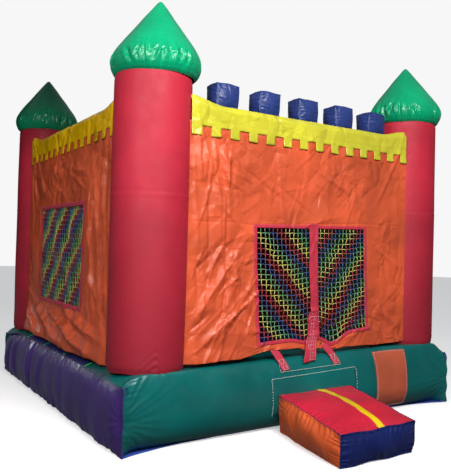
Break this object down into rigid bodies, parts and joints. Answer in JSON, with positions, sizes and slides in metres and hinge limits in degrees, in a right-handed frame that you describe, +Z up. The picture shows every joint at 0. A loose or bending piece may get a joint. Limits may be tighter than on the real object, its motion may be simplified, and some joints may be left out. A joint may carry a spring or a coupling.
{
  "type": "inflatable bounce house",
  "caption": "Castle bounce house: inflated base with corner towers, hung walls with net windows, a zipped net door and a step at the entrance.",
  "frame": {"origin": "centre of the ground sheet's underside, below the middle of the square base", "axes": "+Z up, -Y out through the entrance, +X to the right of a person who faces the entrance"},
  "size_m": [4.0034, 5.0705, 3.8205],
  "materials": {
    "vinyl_teal": "glossy PVC-coated fabric, teal green",
    "vinyl_purple": "glossy PVC-coated fabric, purple",
    "vinyl_navy": "glossy PVC-coated fabric, navy blue",
    "vinyl_crimson": "glossy PVC-coated fabric, crimson",
    "vinyl_emerald": "glossy PVC-coated fabric, emerald green",
    "vinyl_orange": "light glossy PVC-coated sheet, orange",
    "vinyl_yellow": "light glossy PVC-coated sheet, lemon yellow",
    "vinyl_red": "glossy PVC-coated fabric, red",
    "webbing_red": "woven polyester binding and webbing",
    "net_cord": "knotted braided-nylon netting in coloured diagonal stripes",
    "zip_black": "coil zip tape",
    "slider_metal": "die-cast zip slider",
    "tarp_blue": "woven polyethylene ground sheet",
    "label_orange": "plain orange patch, no printing",
    "seam_green": "bright green seam tape",
    "thread_white": "white stitching thread"
  },
  "bodies": {
    "castle": {"ground_sheet": "tarp_blue", "base_front": "vinyl_teal", "base_back": "vinyl_teal", "base_side_left": "vinyl_purple", "base_side_right": "vinyl_purple", "floor_edge_left": "vinyl_navy", "floor_edge_right": "vinyl_navy", "base_underside": "vinyl_navy", "floor_baffle_1": "vinyl_navy", "floor_baffle_2": "vinyl_navy", "column_back_left": "vinyl_crimson", "column_back_right": "vinyl_crimson", "column_front_left": "vinyl_crimson", "column_front_right": "vinyl_crimson", "dome_back_left": "vinyl_emerald", "dome_back_right": "vinyl_emerald", "dome_front_left": "vinyl_emerald", "dome_front_right": "vinyl_emerald", "wall_front": "vinyl_orange", "wall_back": "vinyl_orange", "wall_left": "vinyl_orange", "wall_right": "vinyl_orange", "band_front": "vinyl_yellow", "band_back": "vinyl_yellow", "band_left": "vinyl_yellow", "band_right": "vinyl_yellow", "top_tube_front": "vinyl_navy", "top_tube_back": "vinyl_navy", "top_tube_left": "vinyl_navy", "top_tube_right": "vinyl_navy", "crenel_1": "vinyl_navy", "crenel_2": "vinyl_navy", "crenel_3": "vinyl_navy", "crenel_4": "vinyl_navy", "crenel_5": "vinyl_navy", "window_net_back": "net_cord", "window_net_left": "net_cord", "window_net_right": "net_cord", "window_trim_back": "webbing_red", "window_trim_left": "webbing_red", "window_trim_right": "webbing_red", "roof_cover": "vinyl_orange", "entrance_strap_left": "webbing_red", "entrance_strap_right": "webbing_red", "step_patch": "vinyl_teal", "care_panel": "label_orange", "air_inlet": "vinyl_teal", "vent_zip": "zip_black"},
    "bounce_floor": {"bounce_floor": "vinyl_navy"},
    "door_flap_left": {"door_net_left": "net_cord", "door_trim_left": "webbing_red", "door_zip": "zip_black"},
    "door_flap_right": {"door_net_right": "net_cord", "door_trim_right": "webbing_red"},
    "door_slider": {"door_zip_slider": "slider_metal"},
    "zip_cover": {"zip_cover": "webbing_red"},
    "step": {"step": "vinyl_red", "step_stripe": "vinyl_yellow"},
    "vent_flap": {"vent_flap": "vinyl_teal"},
    "vent_slider": {"vent_zip_slider": "slider_metal"}
  },
  "joints": [
    {"name": "bounce_travel", "type": "slide", "parent": "castle", "child": "bounce_floor", "axis": [0, 0, 1], "range_m": [-0.12, 0], "stiffness_N_per_m": 9000, "springref_m": 0.02},
    {"name": "door_left_swing", "type": "hinge", "parent": "castle", "child": "door_flap_left", "pos_m": [-0.665, -1.8475, 1.36], "axis": [0, 0, 1], "range_deg": [0, 80]},
    {"name": "door_right_swing", "type": "hinge", "parent": "castle", "child": "door_flap_right", "pos_m": [0.765, -1.8475, 1.36], "axis": [0, 0, -1], "range_deg": [0, 80]},
    {"name": "door_zip_slide", "type": "slide", "parent": "door_flap_left", "child": "door_slider", "axis": [0, 0, 1], "range_m": [0, 1]},
    {"name": "zip_cover_lift", "type": "hinge", "parent": "castle", "child": "zip_cover", "pos_m": [0.05, -1.8565, 1.95], "axis": [-1, 0, 0], "range_deg": [0, 90]},
    {"name": "step_fold", "type": "hinge", "parent": "castle", "child": "step", "pos_m": [0.05, -1.99, 0.3], "axis": [-1, 0, 0], "range_deg": [0, 75]},
    {"name": "vent_flap_lift", "type": "hinge", "parent": "castle", "child": "vent_flap", "pos_m": [-0.9, 1.9925, 0.42], "axis": [1, 0, 0], "range_deg": [0, 110]},
    {"name": "vent_zip_slide", "type": "slide", "parent": "castle", "child": "vent_slider", "axis": [1, 0, 0], "range_m": [0, 0.42]}
  ]
}
